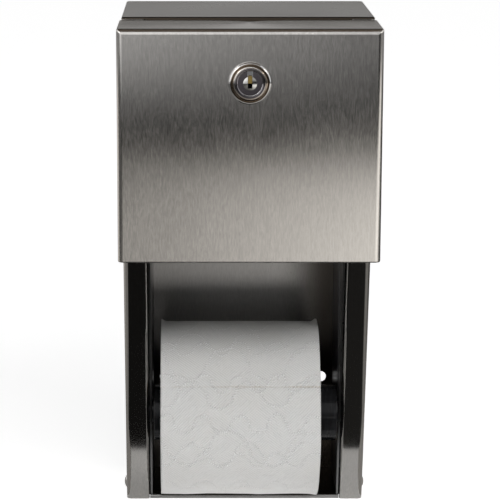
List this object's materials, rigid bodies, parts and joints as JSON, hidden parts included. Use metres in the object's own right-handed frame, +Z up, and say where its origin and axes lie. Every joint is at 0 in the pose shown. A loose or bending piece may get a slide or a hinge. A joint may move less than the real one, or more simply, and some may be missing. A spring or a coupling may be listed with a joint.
{
  "type": "toilet tissue dispenser",
  "caption": "Wall-hung stainless dispenser with a locking hinged door over a reserve roll and a tissue roll on a black spindle in the open bay below.",
  "frame": {"origin": "centre of the four wall screw holes, on the back face and at mid-height", "axes": "+X to the right of a person facing the dispenser, +Y into the wall, +Z up"},
  "size_m": [0.1558, 0.1551, 0.311],
  "materials": {
    "door_steel": "satin",
    "cabinet_steel": "satin",
    "post_steel": "polished",
    "inner_steel": "satin",
    "rivet_steel": "polished",
    "lock_metal": "polished",
    "plug_metal": "polished",
    "wafer_brass": "satin",
    "plated_steel": "satin",
    "spindle_plastic": "gloss",
    "tissue": "matte",
    "core_card": "matte"
  },
  "bodies": {
    "cabinet": {"back_panel": "cabinet_steel", "top_panel": "cabinet_steel", "left_column": "post_steel", "right_column": "post_steel", "bottom_shelf": "cabinet_steel", "left_track_plate": "inner_steel", "right_track_plate": "inner_steel", "lock_keeper": "inner_steel", "shelf_rivets": "rivet_steel", "lower_spindle": "spindle_plastic", "lower_spindle_caps": "spindle_plastic", "lower_brake_spring": "inner_steel", "arm_studs": "inner_steel", "arm_clips": "inner_steel"},
    "door": {"door_panel": "door_steel", "hinge_rivets": "rivet_steel", "lock_housing": "lock_metal", "lock_nut": "plated_steel"},
    "lock": {"lock_plug": "plug_metal", "lock_wafers": "wafer_brass", "lock_cam": "plated_steel", "cam_screw": "plated_steel"},
    "lower_roll": {"lower_roll_paper": "tissue", "lower_roll_core": "core_card"},
    "reserve_set": {"reserve_spindle": "spindle_plastic", "reserve_spindle_caps": "spindle_plastic", "reserve_brake_spring": "inner_steel"},
    "reserve_roll": {"reserve_roll_paper": "tissue", "reserve_roll_core": "core_card"},
    "left_arm": {"left_arm": "inner_steel", "left_arm_spring": "inner_steel"},
    "right_arm": {"right_arm": "inner_steel", "right_arm_spring": "inner_steel"}
  },
  "joints": [
    {"name": "door_hinge", "type": "hinge", "parent": "cabinet", "child": "door", "pos_m": [0, -0.094, 0.0282], "axis": [1, 0, 0], "range_deg": [0, 84]},
    {"name": "lock_turn", "type": "hinge", "parent": "door", "child": "lock", "pos_m": [0, -0.1424, 0.1232], "axis": [0, 1, 0], "range_deg": [0, 90]},
    {"name": "lower_roll_spin", "type": "hinge", "parent": "cabinet", "child": "lower_roll", "pos_m": [-0.0038, -0.0641, -0.0948], "axis": [1, 0, 0], "continuous": true},
    {"name": "reserve_drop", "type": "slide", "parent": "cabinet", "child": "reserve_set", "axis": [0, 0, -1], "range_m": [0, 0.0375]},
    {"name": "reserve_roll_spin", "type": "hinge", "parent": "reserve_set", "child": "reserve_roll", "pos_m": [-0.0038, -0.0641, 0.0569], "axis": [1, 0, 0], "continuous": true},
    {"name": "left_arm_swing", "type": "hinge", "parent": "cabinet", "child": "left_arm", "pos_m": [-0.0611, -0.0231, 0.0418], "axis": [1, 0, 0], "range_deg": [0, 90], "deforming": ["left_arm_spring"]},
    {"name": "right_arm_swing", "type": "hinge", "parent": "cabinet", "child": "right_arm", "pos_m": [0.0611, -0.0231, 0.0418], "axis": [1, 0, 0], "range_deg": [0, 90], "deforming": ["right_arm_spring"]}
  ],
  "couplings": [
    {"joint": "left_arm_swing", "follows": "reserve_drop", "rad_per_m": 41.8},
    {"joint": "right_arm_swing", "follows": "reserve_drop", "rad_per_m": 41.8}
  ]
}
